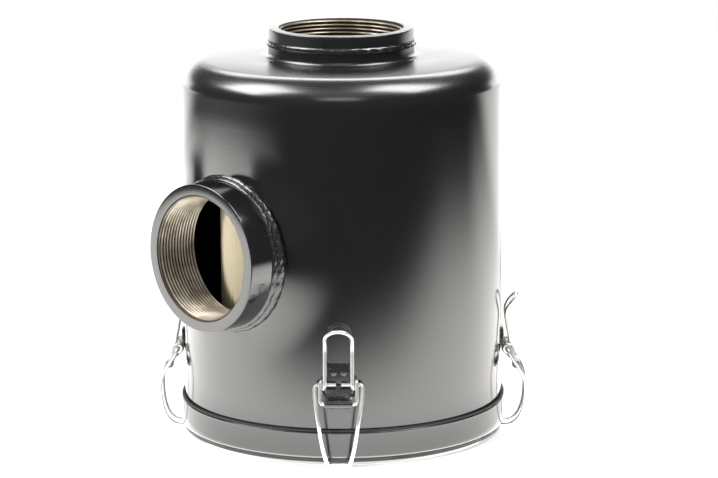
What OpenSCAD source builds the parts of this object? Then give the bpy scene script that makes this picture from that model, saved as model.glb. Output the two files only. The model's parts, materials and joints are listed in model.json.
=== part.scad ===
// Suction filter housing: a deep-drawn steel canister that stands on its own lid, with a threaded
// outlet on top, a threaded inlet on the side, a pleated cartridge inside and four wire toggle
// latches that hold the lid. Millimetres, +Z up. The origin is the centre of the lid's underside,
// and the front latch faces -Y.

/* [Canister] */
// Outside diameter of the drawn canister
can_d = 194; // [185:1:215]
// Sheet thickness of the canister
can_wall = 1.5; // [1:0.1:2.5]
// Height of the canister's flat top above the lid's underside
can_top = 230; // [215:1:300]
// Outside radius of the rounded shoulder at the top
shoulder_r = 16; // [12:1:32]
// Height of the canister's open lower rim
can_rim = 9.2; // [8.8:0.1:12]

/* [Ports] */
// Bore of both sockets, at the crests of a G 2 1/2 thread
port_bore_d = 72.2; // [62:0.1:74]
// Wall of both sockets around their bore; the collars that they are welded to are as wide outside
port_wall = 7.9; // [6:0.1:10]
// Length of each socket
port_len = 30; // [26:1:36]
// Chamfer at both ends of a socket's bore
port_chamfer = 1.4; // [0.4:0.1:2.5]
// Gap between a socket's spigot and the collar that it slides into
port_gap = 0.2; // [0.05:0.05:0.3]
// Height of the outlet's drawn collar above the flat top
outlet_collar = 9; // [6:0.1:14]
// Radius of the fillet at the foot of the outlet's collar
collar_fillet = 3; // [1:0.5:5]
// Height of the outlet's mouth above its collar
outlet_stand = 8.7; // [5:0.1:14]
// Direction of the inlet, counted from +X
inlet_angle = 226.5; // [215:0.5:235]
// Height of the inlet's axis
inlet_z = 123; // [115:0.5:140]
// Distance of the inlet collar's end from the canister's surface
inlet_collar = 2.4; // [2.2:0.1:6]
// Length of the inlet socket outside its collar
inlet_stand = 18.6; // [8:0.1:19]
// Radius of the weld beads around the sockets
bead_r = 1.9; // [1:0.1:2.5]
// Radius of the second pass, in the corner between the inlet's collar and the canister
corner_r = 2.3; // [1.6:0.1:3]
// Distance of the second pass from the collar's end
corner_pitch = 3.1; // [2:0.1:3.6]
// How far the middle of the second pass stands out from the collar
corner_out = 1.5; // [0.5:0.1:2]
// Gap between a weld bead and the metal under it
bead_gap = 0.05; // [0.02:0.01:0.1]

/* [Lid] */
// Outside radius of the lid's skirt beyond the canister's radius
skirt_out = 2.2; // [2:0.1:4]
// Sheet thickness of the lid
lid_wall = 1.2; // [0.8:0.1:1.4]
// Height of the skirt's upper edge
skirt_top = 21.4; // [18:0.1:26]
// Height of the bevel between the skirt and the flat underside
bevel_h = 6.4; // [5:0.1:6.8]
// Width of the bevel, counted inwards
bevel_w = 6.2; // [5:0.1:8]
// Gap between the lid's locating ring and the foot ring of the cartridge that it centres
locator_gap = 2; // [0.5:0.5:6]
// Height of the locating ring
locator_h = 3; // [2:0.5:4]
// Width of the locating ring
locator_w = 2; // [1:0.5:4]
// Height of the gasket's bead over the skirt's upper edge
gasket_bead = 1.4; // [1:0.1:4]
// Width of the gasket under the canister's rim
gasket_w = 3.8; // [2.5:0.1:5]
// Gap between the gasket and the sheets that it lies on
gasket_gap = 0.1; // [0.05:0.05:0.15]

/* [Cartridge] */
// Outside diameter of the pleated paper
paper_d = 149; // [140:1:152]
// Number of folds in the paper
fold_count = 80; // [60:1:100]
// Depth of the folds
fold_depth = 26; // [20:0.5:26]
// Wall of the folded paper, counted outwards
fold_wall = 7; // [5:0.5:9]
// How far the end caps stand out beyond the paper
cap_over = 1.5; // [0.5:0.1:2.5]
// Thickness of the upper end cap
top_cap_h = 14; // [10:0.5:18]
// Thickness of the lip that carries the seal
cap_lip_h = 3; // [2:0.5:5]
// How far that lip reaches inwards beyond the seal
cap_lip = 2.4; // [0.5:0.1:4]
// Thickness of the lower end cap
bottom_cap_h = 12; // [8:0.5:16]
// Height of the foot ring under the lower cap
foot_h = 4; // [3:0.5:6]
// Width of the foot ring
foot_w = 6; // [4:0.5:7]
// Distance of the upper cap from the inside of the canister's top
cap_headroom = 4.5; // [2:0.5:6]
// Wall of the rubber seal that grips the outlet's socket
seal_wall = 3; // [2:0.1:3.2]
// Gap between the seal and what it touches
seal_gap = 0.1; // [0.05:0.05:0.15]
// Sheet thickness of the perforated core
core_wall = 0.8; // [0.5:0.1:1.2]
// Gap between the core and the folds
core_gap = 0.5; // [0.2:0.1:0.9]
// Diameter of the holes in the core
core_hole_d = 12; // [8:0.5:16]
// Distance between the rows of holes
core_pitch = 30; // [24:1:50]
// Number of holes in a row, an even number
core_holes = 8; // [6:2:12]

/* [Latch] */
// Diameter of the wire's straight ends, which turn in the knuckle and in the eyes
pin_d = 2.3; // [2.1:0.1:2.4]
// Running gap between a wire end and what it turns in
pin_gap = 0.07; // [0.05:0.01:0.1]
// How far the bent wire is thinner than its straight ends
wire_draw = 0.06; // [0.04:0.02:0.1]
// Height of the hinge that joins the lever to its bracket
hinge_z = 40.4; // [38.5:0.1:42]
// Distance of that hinge from the canister's surface
hinge_out = 9.1; // [8.6:0.1:10.5]
// Height of the lever's eyes above the hinge when the latch is closed
eye_rise = 10.4; // [9.8:0.1:11.4]
// How far the eyes lie inside the hinge, towards the canister
eye_in = 5.2; // [4.6:0.1:5.4]
// Distance of each lever leg from the latch's middle
leg_x = 8; // [7.8:0.1:8.6]
// Sideways step of the wire in one turn of an eye
eye_step = 2.8; // [2.75:0.05:3.2]
// Straight length of the lever's leg above its eye
leg_len = 18.8; // [15:0.2:26]
// Lean of the closed lever towards the canister
leg_lean = 10; // [4:0.5:10]
// Radius of the bend where the lever flares out
flare_r = 10; // [6:0.5:14]
// Final angle of the flare from the vertical
flare_angle = 38; // [20:1:60]
// Straight length at the end of the flare
flare_len = 8; // [4:0.5:10]
// Distance of each bail leg from the latch's middle, at the eyes
bail_x = 14.1; // [14:0.1:16]
// Lean of the bail's legs away from the canister, just below the eyes
bail_lean = 28; // [20:1:36]
// Distance of each bail leg from the latch's middle, at its widest bow
bow_x = 11.2; // [11:0.1:13]
// How far the bail bows out from the canister's surface
bow_out = 14.8; // [14:0.1:18]
// Height of the bail's widest bow
bow_z = 27; // [24:0.5:30]
// Distance of each bail leg from the latch's middle, at the hook
hook_x = 5.8; // [5:0.1:7]
// Height of the hook's wire above the lid's underside
hook_z = 1.7; // [1.5:0.1:2]
// Gap between the closed hook and the lid's bevel
hook_gap = 0.35; // [0.3:0.05:0.6]

/* [Bracket] */
// Sheet thickness of the bracket
bracket_wall = 1.4; // [1:0.1:1.6]
// Height of the bracket's upper edge
bracket_top = 62.4; // [59:0.2:66]
// Width of the bracket's plate
plate_w = 14; // [10:0.5:14]
// Length of the rolled knuckle
knuckle_w = 16.6; // [14:0.1:16.6]
// Wall of the rolled knuckle
knuckle_wall = 1.2; // [0.8:0.1:1.3]
// Length of the arm that is as wide as the knuckle
arm_wide = 5; // [4:0.5:6]
// Height at which the plate starts to bend outwards
bend_z = 51; // [50.4:0.2:52]
// Radius of that bend, at the middle of the sheet
bend_r = 4; // [3.5:0.5:4.5]
// Gap between the bracket's plate and the canister
seat_gap = 0.1; // [0.05:0.05:0.2]
// Diameter of the spot weld's dimples
spot_d = 3.6; // [3:0.2:5]
// Depth of the dimples
spot_deep = 0.3; // [0.1:0.1:0.5]
// Distance between the two dimples
spot_pitch = 6; // [5.4:0.2:7]

/* [Hidden] */
$fn = 96;
// Extra length of a tool that cuts right through
past = 1;
weld_colour = [0.10, 0.10, 0.11];
// Chords along a quarter circle of an outline
arc_steps = 18;
// Sides of a swept wire, and its rings along a bend, an eye, a curve and the grip's half turn
wire_sides = 8;
bend_steps = 5;
eye_steps = 28;
curve_steps = 10;
grip_steps = 16;

can_r = can_d / 2;
can_bore_r = can_r - can_wall;
port_bore_r = port_bore_d / 2;
port_r = port_bore_r + port_wall;
collar_bore_r = port_r - can_wall;
spigot_r = collar_bore_r - port_gap;
outlet_seam_z = can_top + outlet_collar;
inlet_seam = can_r + inlet_collar;

lid_r = can_r + skirt_out;
lid_bore_r = lid_r - lid_wall;
flat_r = lid_r - bevel_w;
bevel_len = norm([bevel_w, bevel_h]);
bevel_lean = bevel_w / bevel_h;
// Where the lid's inner bevel, a wall's thickness in, would meet the height of the underside
inner_flat_r = flat_r - lid_wall * bevel_len / bevel_h;

paper_r = paper_d / 2;
cap_r = paper_r + cap_over;
foot_r = cap_r - foot_w;
locator_r = foot_r - locator_gap;
fold_in_r = paper_r - fold_depth;
core_r = fold_in_r - core_gap;
top_cap_z = can_top - can_wall - cap_headroom - top_cap_h;
bottom_cap_z = lid_wall + foot_h;
paper_z = bottom_cap_z + bottom_cap_h;
paper_h = top_cap_z - paper_z;
seal_bore_r = spigot_r + seal_gap;
seal_r = seal_bore_r + seal_wall;
cap_lip_r = seal_bore_r - cap_lip;
seal_z = top_cap_z + cap_lip_h;
core_rows = floor((paper_h - core_hole_d) / core_pitch);

pin_r = pin_d / 2;
wire_r = pin_r - wire_draw / 2;
pin_bore_r = pin_r + pin_gap;
knuckle_r = pin_bore_r + knuckle_wall;
// How far a straight end stops short of the latch's middle
pin_stop = 1.6;
// Length over which a straight end and the bent wire share their middle
pin_lap = 0.4;
// Radius of the bends from a straight end to a leg
wire_bend = 2.2;
// Radius of an eye at the middle of the wire
eye_r = pin_bore_r + wire_r;
// Length of the handles that shape the bail's curve, at its top, above and below its bow and at its hook
bail_pull = [7, 8, 17, 9];

// Points of the closed latch in its own plane: [distance from the canister's axis, height]
hinge = [can_r + hinge_out, hinge_z];
eye = hinge + [-eye_in, eye_rise];
bow = [can_r + bow_out, bow_z];
// Where the hook's wire clears the bevel by its gap
hook = [flat_r + bevel_lean * hook_z + (pin_r + hook_gap) * bevel_len / bevel_h, hook_z];
link_x = leg_x + eye_step;
link_lean = atan2(eye_in, eye_rise) - asin(eye_r / norm(eye - hinge));
leg_foot = eye + polar(eye_r, leg_lean);
leg_end = leg_foot + leg_len * heading(-leg_lean);
flare_arc = flare_r * PI * (flare_angle + leg_lean) / 180;
flare_centre = leg_end + polar(flare_r, leg_lean);
lever_len = leg_len + flare_arc + flare_len;

// The bracket's bend, its arm's angle from the vertical and how far the arm passes outside the hinge
sheet_mid = can_r + seat_gap + bracket_wall / 2;
arm_pass = 1;
bend_centre = [sheet_mid + bend_r, bend_z];
arm_angle = acos(-(arm_pass + bend_r) / norm(hinge - bend_centre))
    - atan2(bend_centre.y - hinge.y, hinge.x - bend_centre.x);

function polar(r, a) = [r * cos(a), r * sin(a)];
// Unit vector that leans by a from the vertical, outwards when a is positive
function heading(a) = [sin(a), cos(a)];
function unit(v) = v / norm(v);
function arc(c, r, a0, a1, n) = [for (i = [0:n]) c + polar(r, a0 + (a1 - a0) * i / n)];
function reversed(p) = [for (i = [len(p) - 1:-1:0]) p[i]];
// Point of a latch: u along its width and q in its plane
function at(u, q) = [u, -q.x, q.y];
function across(p) = [for (v = p) [-v.x, v.y, v.z]];
function bezier(a, b, c, d, t) =
    pow(1 - t, 3) * a + 3 * t * pow(1 - t, 2) * b + 3 * t * t * (1 - t) * c + pow(t, 3) * d;

// Tangent at point i of a path, and the side vectors that are carried along it without twist
function tangent(p, i) = unit(p[min(i + 1, len(p) - 1)] - p[max(i - 1, 0)]);
function square_to(v, t) = unit(v - (v * t) * t);
function sides(p, v) = [
    for (i = 0, s = square_to(v, tangent(p, 0)); i < len(p);
        i = i + 1, s = square_to(s, tangent(p, min(i, len(p) - 1)))) s
];

// Round wire along the path p, whose first ring starts at the side vector v
module wire(p, v) {
    s = sides(p, v);
    n = wire_sides;
    last = (len(p) - 1) * n;
    rings = [
        for (i = [0:len(p) - 1], k = [0:n - 1])
            let (a = k * 360 / n)
            p[i] + wire_r * (cos(a) * s[i] + sin(a) * cross(tangent(p, i), s[i]))
    ];
    walls = [
        for (i = [0:len(p) - 2], k = [0:n - 1])
            let (a = i * n + k, b = i * n + (k + 1) % n)
            each [[a, a + n, b + n], [a, b + n, b]]
    ];
    start = [for (k = [1:n - 2]) [0, k, k + 1]];
    end = [for (k = [1:n - 2]) [last, last + k + 1, last + k]];
    polyhedron(rings, concat(walls, start, end));
}

// Straight wire end from u0 to u1 on both sides of the latch
module pins(q, u0, u1) {
    for (side = [0, 180]) {
        translate(at(0, q)) rotate([0, 90, side]) translate([0, 0, u0])
            cylinder(r = pin_r, h = u1 - u0);
    }
}

// Sheet of a bracket's profile, extruded over the width w
module sheet(points, w) {
    rotate([90, 0, -90]) linear_extrude(w, center = true) polygon(points);
}

module across_bar(q, r, w) {
    translate(at(0, q)) rotate([0, 90, 0]) cylinder(r = r, h = w, center = true);
}

// Band along the middle line of a bent sheet, from its plate to its arm
module bracket() {
    half = bracket_wall / 2;
    out = heading(180 - arm_angle);
    face = [cos(arm_angle), sin(arm_angle)];
    foot = bend_centre - bend_r * face;
    reach = (hinge - foot) * out;
    tip = foot + reach * out;
    wide = tip - arm_wide * out;
    outer = arc(bend_centre, bend_r - half, 180, 180 + arm_angle, arc_steps);
    inner = arc(bend_centre, bend_r + half, 180 + arm_angle, 180, arc_steps);
    profile = concat([[sheet_mid + half, bracket_top]], outer, [tip + half * face, tip - half * face],
        inner, [[sheet_mid - half, bracket_top]]);
    end = [wide + half * face, tip + half * face, tip - half * face, wide - half * face];
    spot_mid = (bracket_top + eye.y) / 2 + pin_r;
    color([0.12, 0.12, 0.13])
    difference() {
        union() {
            sheet(profile, plate_w);
            sheet(end, knuckle_w);
            across_bar(hinge, knuckle_r, knuckle_w);
        }
        across_bar(hinge, pin_bore_r, knuckle_w + 2 * past);
        for (side = [-0.5, 0.5]) {
            translate([side * spot_pitch, -sheet_mid - half + spot_deep, spot_mid]) rotate([90, 0, 0])
                cylinder(d = spot_d, h = past);
        }
    }
}

// Point of the lever's leg in the latch's plane, a length s above its foot
function leg_point(s) =
    s < leg_len ? leg_foot + s * heading(-leg_lean)
    : s < leg_len + flare_arc ? flare_centre - polar(flare_r, leg_lean - (s - leg_len) * 180 / PI / flare_r)
    : flare_centre - polar(flare_r, -flare_angle) + (s - leg_len - flare_arc) * heading(flare_angle);

module lever() {
    grip_s = lever_len - leg_x;
    turn = 360 + leg_lean - link_lean;
    root = link_x - wire_bend;
    bend = [
        for (i = [0:bend_steps])
            let (a = i * 90 / bend_steps)
            at(root + wire_bend * sin(a), hinge + wire_bend * (1 - cos(a)) * heading(-link_lean))
    ];
    coil = [
        for (i = [0:eye_steps])
            let (t = i / eye_steps)
            at(link_x - eye_step * t, eye + polar(eye_r, link_lean + turn * t))
    ];
    leg_stops = [leg_len / 2, leg_len, for (i = [1:bend_steps]) leg_len + flare_arc * i / bend_steps];
    leg = [for (s = leg_stops) if (s < grip_s - wire_r) at(leg_x, leg_point(s))];
    grip = [
        for (i = [0:grip_steps])
            let (a = i * 180 / grip_steps)
            at(leg_x * cos(a), leg_point(grip_s + leg_x * sin(a)))
    ];
    half = concat([at(root - pin_lap, hinge)], bend, coil, leg);
    color([0.80, 0.80, 0.78])
    union() {
        wire(concat(half, grip, reversed(across(half))), [0, 0, 1]);
        pins(hinge, pin_stop, root);
    }
}

module bail() {
    root = bail_x - wire_bend;
    down = heading(180 - bail_lean);
    bend = [
        for (i = [0:bend_steps])
            let (a = i * 90 / bend_steps)
            at(root + wire_bend * sin(a), eye + wire_bend * (1 - cos(a)) * down)
    ];
    top = eye + wire_bend * down;
    hook_top = hook + [wire_bend, 0];
    taper = (bail_x - bow_x) / (top.y - bow.y);
    p = [for (i = [0:1]) each [
        i == 0 ? at(bail_x, top) : at(bow_x, bow),
        i == 0 ? at(bail_x, top + bail_pull[0] * down)
            : at(bow_x - taper * bail_pull[2], bow - [0, bail_pull[2]]),
        i == 0 ? at(bow_x + taper * bail_pull[1], bow + [0, bail_pull[1]])
            : at(hook_x, hook_top + [bail_pull[3], 0]),
        i == 0 ? at(bow_x, bow) : at(hook_x, hook_top)]];
    upper = [for (i = [1:curve_steps]) bezier(p[0], p[1], p[2], p[3], i / curve_steps)];
    lower = [for (i = [1:curve_steps]) bezier(p[4], p[5], p[6], p[7], i / curve_steps)];
    hook_turn = [
        for (i = [1:bend_steps])
            let (a = i * 90 / bend_steps)
            at(hook_x - wire_bend * (1 - cos(a)), hook_top - [wire_bend * sin(a), 0])
    ];
    half = concat([at(root - pin_lap, eye)], bend, upper, lower, hook_turn);
    color([0.80, 0.80, 0.78])
    union() {
        wire(concat(half, reversed(across(half))), [0, 0, 1]);
        pins(eye, pin_stop, root);
    }
}

module front() { children(); }
module right() { rotate([0, 0, 90]) children(); }
module back() { rotate([0, 0, 180]) children(); }
module left() { rotate([0, 0, 270]) children(); }

// Turns +Z to the inlet's axis, with the canister's axis at zero
module inlet_axis() {
    translate([0, 0, inlet_z]) rotate([0, 90, inlet_angle]) children();
}

// Deep-drawn pot with a collar on its top and another on its side
module canister() {
    centre = [can_r - shoulder_r, can_top - shoulder_r];
    fillet = [port_r + collar_fillet, can_top + collar_fillet];
    roof = can_top - can_wall;
    outside = concat([[0, can_rim], [can_r, can_rim]], arc(centre, shoulder_r, 0, 90, arc_steps),
        arc(fillet, collar_fillet, 270, 180, arc_steps), [[port_r, outlet_seam_z], [0, outlet_seam_z]]);
    inside = concat([[0, can_rim - past], [can_bore_r, can_rim - past]],
        arc(centre, shoulder_r - can_wall, 0, 90, arc_steps), [[0, roof]]);
    color([0.13, 0.14, 0.15])
    difference() {
        union() {
            rotate_extrude() polygon(outside);
            inlet_axis() translate([0, 0, paper_r]) cylinder(r = port_r, h = inlet_seam - paper_r);
        }
        rotate_extrude() polygon(inside);
        translate([0, 0, roof - past]) cylinder(r = collar_bore_r, h = outlet_collar + can_wall + 2 * past);
        inlet_axis() translate([0, 0, paper_r - past]) cylinder(r = collar_bore_r, h = can_r);
    }
}

// Steel socket with a chamfered bore: its mouth stands above the collar's end at height z, and its
// spigot reaches down inside the collar
module socket(z, stand) {
    edge = port_bore_r + port_chamfer;
    inner = stand - port_len;
    color([0.14, 0.15, 0.16])
    translate([0, 0, z]) rotate_extrude() polygon([
        [edge, inner], [spigot_r, inner], [spigot_r, 0], [port_r, 0], [port_r, stand], [edge, stand],
        [port_bore_r, stand - port_chamfer], [port_bore_r, inner + port_chamfer]]);
}

// Round of weld, its middle at a radius and a height, that lies over a collar
module bead(mid, r) {
    side = acos((port_r + bead_gap - mid.x) / r);
    rotate_extrude() polygon(arc(mid, r, side, -side, 2 * arc_steps));
}

module outlet_socket() { socket(outlet_seam_z, outlet_stand); }
module outlet_weld() { color(weld_colour) bead([port_r, outlet_seam_z], bead_r); }
module inlet_socket() { inlet_axis() socket(inlet_seam, inlet_stand); }
module inlet_weld() {
    color(weld_colour)
    difference() {
        inlet_axis() union() {
            bead([port_r, inlet_seam], bead_r);
            bead([port_r + corner_out, inlet_seam - corner_pitch], corner_r);
        }
        cylinder(r = can_r + bead_gap, h = can_top);
    }
}

// Pressed lid: flat underside, bevel, upright skirt and a welded ring that centres the cartridge
module lid() {
    locator_in = locator_r - locator_w;
    color([0.13, 0.14, 0.15])
    rotate_extrude() polygon([
        [0, 0], [flat_r, 0], [lid_r, bevel_h], [lid_r, skirt_top], [lid_bore_r, skirt_top],
        [lid_bore_r, (lid_bore_r - inner_flat_r) / bevel_lean],
        [inner_flat_r + lid_wall * bevel_lean, lid_wall],
        [locator_r, lid_wall], [locator_r, lid_wall + locator_h],
        [locator_in, lid_wall + locator_h], [locator_in, lid_wall], [0, lid_wall]]);
}

// Rubber ring: a pad under the canister's rim, a thin wall and a bead over the skirt's edge
module lid_gasket() {
    wall_in = can_r + gasket_gap;
    wall_out = lid_bore_r - gasket_gap;
    pad_in = wall_out - gasket_w;
    pad_top = can_rim - gasket_gap;
    lift = gasket_gap * bevel_len / bevel_w;
    bead_z = skirt_top + gasket_gap;
    round = gasket_bead / 3;
    color([0.05, 0.05, 0.05])
    rotate_extrude() polygon([
        [pad_in, (pad_in - inner_flat_r) / bevel_lean + lift],
        [wall_out, (wall_out - inner_flat_r) / bevel_lean + lift],
        [wall_out, bead_z], [lid_r - gasket_gap, bead_z],
        [lid_r - gasket_gap, bead_z + gasket_bead - round], [lid_r - gasket_gap - round, bead_z + gasket_bead],
        [wall_in, bead_z + gasket_bead], [wall_in, pad_top], [pad_in, pad_top]]);
}

// Ring cap on the paper's upper end, with a lip that carries the seal
module cartridge_top_cap() {
    top = top_cap_z + top_cap_h;
    color([0.30, 0.30, 0.31])
    rotate_extrude() polygon([
        [cap_lip_r, top_cap_z], [cap_r, top_cap_z], [cap_r, top], [seal_r + seal_gap, top],
        [seal_r + seal_gap, seal_z], [cap_lip_r, seal_z]]);
}

module cartridge_bottom_cap() {
    color([0.30, 0.30, 0.31])
    rotate_extrude() polygon([
        [0, bottom_cap_z], [foot_r, bottom_cap_z], [foot_r, lid_wall], [cap_r, lid_wall],
        [cap_r, paper_z], [0, paper_z]]);
}

// Folded paper between the caps
module cartridge_paper() {
    step = 180 / fold_count;
    color([0.78, 0.72, 0.58])
    translate([0, 0, paper_z]) linear_extrude(paper_h) difference() {
        polygon([for (i = [0:2 * fold_count - 1]) polar(i % 2 == 0 ? paper_r : fold_in_r + fold_wall, i * step)]);
        polygon([for (i = [0:2 * fold_count - 1]) polar(i % 2 == 0 ? paper_r - fold_wall : fold_in_r, i * step)]);
    }
}

// Perforated steel tube that backs the paper
module cartridge_core() {
    first = paper_z + (paper_h - core_pitch * (core_rows - 1)) / 2;
    color([0.62, 0.63, 0.64])
    difference() {
        translate([0, 0, paper_z]) cylinder(r = core_r, h = paper_h);
        translate([0, 0, paper_z - past]) cylinder(r = core_r - core_wall, h = paper_h + 2 * past);
        for (row = [0:core_rows - 1], i = [0:core_holes / 2 - 1]) {
            translate([0, 0, first + row * core_pitch]) rotate([90, 0, (i + (row % 2) / 2) * 360 / core_holes])
                cylinder(d = core_hole_d, h = 2 * core_r + 2 * past, center = true);
        }
    }
}

module cartridge_seal() {
    color([0.06, 0.06, 0.06])
    rotate_extrude() polygon([
        [seal_bore_r, seal_z], [seal_r, seal_z], [seal_r, top_cap_z + top_cap_h],
        [seal_bore_r, top_cap_z + top_cap_h]]);
}

module front_bracket() { front() bracket(); }
module right_bracket() { right() bracket(); }
module back_bracket() { back() bracket(); }
module left_bracket() { left() bracket(); }
module front_lever() { front() lever(); }
module right_lever() { right() lever(); }
module back_lever() { back() lever(); }
module left_lever() { left() lever(); }
module front_bail() { front() bail(); }
module right_bail() { right() bail(); }
module back_bail() { back() bail(); }
module left_bail() { left() bail(); }

canister();
outlet_socket();
outlet_weld();
inlet_socket();
inlet_weld();
lid();
lid_gasket();
cartridge_top_cap();
cartridge_bottom_cap();
cartridge_paper();
cartridge_core();
cartridge_seal();
front_bracket();
right_bracket();
back_bracket();
left_bracket();
front_lever();
right_lever();
back_lever();
left_lever();
front_bail();
right_bail();
back_bail();
left_bail();
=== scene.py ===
"""Suction filter canister, dressed for a studio view.

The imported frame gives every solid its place, in metres and with +Z up. This script turns, bends and
winds a finished piece for each of them, paints it, and sets the floor, the lamps and the camera. Sizes
are written in millimetres and enter Blender through MM.
"""

import json
import logging
import math
from dataclasses import dataclass, field
from enum import Enum
from typing import Any, Callable, Iterable, Sequence

import bpy
from mathutils import Matrix, Vector


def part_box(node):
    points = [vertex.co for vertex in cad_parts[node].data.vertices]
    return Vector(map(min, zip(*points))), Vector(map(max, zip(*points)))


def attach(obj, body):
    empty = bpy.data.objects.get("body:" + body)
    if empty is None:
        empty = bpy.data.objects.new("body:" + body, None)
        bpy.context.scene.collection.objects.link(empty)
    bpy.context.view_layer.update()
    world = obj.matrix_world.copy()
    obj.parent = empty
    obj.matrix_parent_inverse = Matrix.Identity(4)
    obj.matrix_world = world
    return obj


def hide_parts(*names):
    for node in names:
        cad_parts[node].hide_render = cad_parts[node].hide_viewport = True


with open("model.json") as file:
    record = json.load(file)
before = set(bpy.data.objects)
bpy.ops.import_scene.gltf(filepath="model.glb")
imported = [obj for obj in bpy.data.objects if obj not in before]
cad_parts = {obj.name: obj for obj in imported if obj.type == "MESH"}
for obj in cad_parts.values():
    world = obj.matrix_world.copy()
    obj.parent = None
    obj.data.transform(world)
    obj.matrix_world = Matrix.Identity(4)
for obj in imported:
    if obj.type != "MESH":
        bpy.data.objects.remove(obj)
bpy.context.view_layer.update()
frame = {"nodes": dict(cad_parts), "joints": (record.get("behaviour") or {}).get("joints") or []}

MM = 0.001
log = logging.getLogger("filter")

Point = tuple[float, float]
Triple = tuple[float, float, float]
Colour = Triple
Ramp = tuple[float, float, float, float]


# ---------------------------------------------------------------------------------------------------
# Outlines, all in millimetres
# ---------------------------------------------------------------------------------------------------

def arc(centre: Point, radius: float, start: float, end: float, steps: int) -> list[Point]:
    """Points on a round stretch of an outline.

    Args:
        centre: Middle of the circle.
        radius: Radius of the circle.
        start: First angle in degrees, counted from the outward direction.
        end: Last angle in degrees.
        steps: Number of chords.

    Returns:
        The points, both ends included.
    """
    angles = [math.radians(start + (end - start) * i / steps) for i in range(steps + 1)]
    return [(centre[0] + radius * math.cos(a), centre[1] + radius * math.sin(a)) for a in angles]


def rounded(corners: Sequence[Point], radius: float, steps: int = 4) -> list[Point]:
    """A closed outline with each corner rounded off.

    Args:
        corners: Corners in order.
        radius: Radius wanted; a short side makes it smaller.
        steps: Chords at each corner.

    Returns:
        The points of the rounded outline.
    """
    points: list[Point] = []
    for index, corner in enumerate(corners):
        here = Vector(corner)
        before = Vector(corners[index - 1]) - here
        after = Vector(corners[(index + 1) % len(corners)]) - here
        half = before.angle(after) / 2
        cut = min(radius / math.tan(half), before.length * 0.45, after.length * 0.45)
        first, last = here + before.normalized() * cut, here + after.normalized() * cut
        for step in range(steps + 1):
            t = step / steps
            spot = first.lerp(here, t).lerp(here.lerp(last, t), t)
            points.append((spot.x, spot.y))
    return points


def span(node: str) -> tuple[float, float]:
    """Lowest and highest point of a solid of the frame, in millimetres."""
    low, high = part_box(node)
    return low[2] / MM, high[2] / MM


def eased(value: float) -> float:
    """Carries a number onto 0 to 1 with soft ends."""
    value = min(max(value, 0.0), 1.0)
    return value * value * (3 - 2 * value)


def reach(spot: Vector) -> float:
    """Distance of a point from the upright axis, in the point's own unit."""
    return math.hypot(spot.x, spot.y)


def drawn_to(spot: Vector, wanted: float) -> Vector:
    """A point moved level to another distance from the upright axis."""
    radius = reach(spot)
    return Vector((spot.x * wanted / radius, spot.y * wanted / radius, spot.z))


def heading(lean: float) -> Vector:
    """Unit vector of a latch's plane that leans outwards from the vertical by an angle in degrees."""
    return Vector((math.sin(math.radians(lean)), math.cos(math.radians(lean))))


def polar(radius: float, angle: float) -> Vector:
    """Vector of a latch's plane at an angle in degrees from the outward direction."""
    return Vector((math.cos(math.radians(angle)), math.sin(math.radians(angle)))) * radius


# ---------------------------------------------------------------------------------------------------
# Bench work
# ---------------------------------------------------------------------------------------------------

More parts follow.
